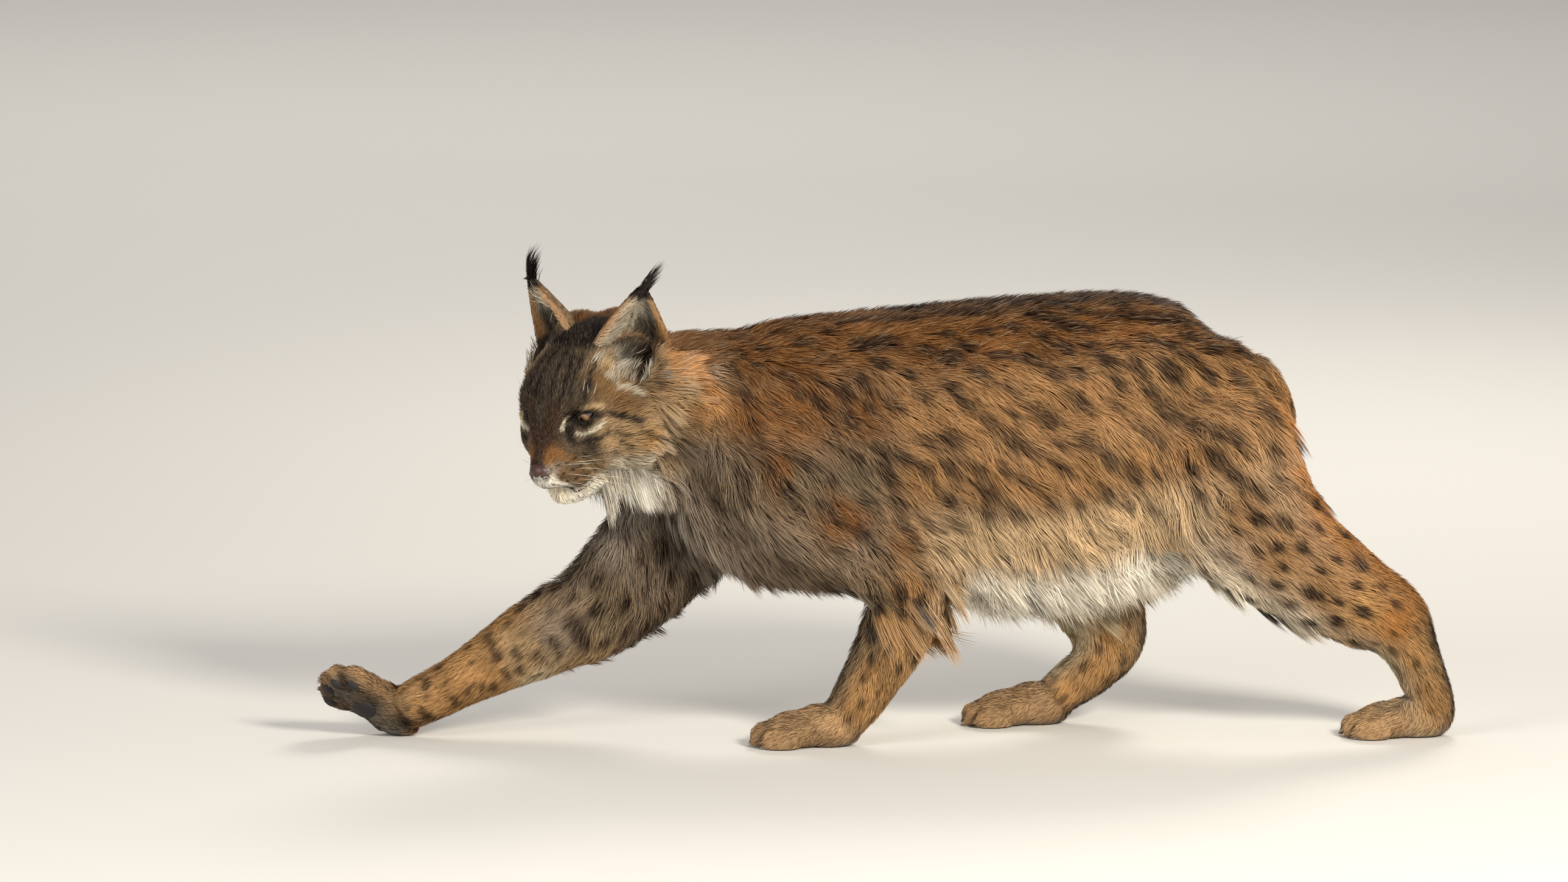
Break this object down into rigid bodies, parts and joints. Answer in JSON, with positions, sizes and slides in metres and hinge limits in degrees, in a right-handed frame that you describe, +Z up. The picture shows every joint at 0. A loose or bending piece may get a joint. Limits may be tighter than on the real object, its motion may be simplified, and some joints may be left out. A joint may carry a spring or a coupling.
{
  "type": "eurasian lynx, still life-size model",
  "caption": "Life-size still model of a walking Eurasian lynx in winter coat, standing on its feet, head turned to its left.",
  "frame": {"origin": "centre of the footprint box, on the floor", "axes": "+Z up, the animal faces -X and its left side faces -Y"},
  "size_m": [1.3068, 0.257, 0.5802],
  "materials": {
    "coat_rufous": "long winter fur, rufous brown with dark spots",
    "coat_ochre": "winter fur, ochre with black-brown spots",
    "coat_pale": "short dense fur of the feet, pale buff",
    "eye": "wet gloss, amber iris",
    "nose_leather": "bare brown nose leather, slightly moist"
  },
  "bodies": {
    "root": {"head": "coat_ochre", "nose": "nose_leather", "eye_left": "eye", "eye_right": "eye", "ear_left": "coat_ochre", "ear_right": "coat_ochre", "neck": "coat_rufous", "torso": "coat_rufous", "tail": "coat_rufous", "foreleg_left_upper": "coat_ochre", "foreleg_left_lower": "coat_ochre", "foreleg_left_foot": "coat_pale", "foreleg_right_upper": "coat_ochre", "foreleg_right_lower": "coat_ochre", "foreleg_right_foot": "coat_pale", "hindleg_left_upper": "coat_ochre", "hindleg_left_lower": "coat_ochre", "hindleg_left_foot": "coat_pale", "hindleg_right_upper": "coat_ochre", "hindleg_right_lower": "coat_ochre", "hindleg_right_foot": "coat_pale"}
  },
  "joints": []
}
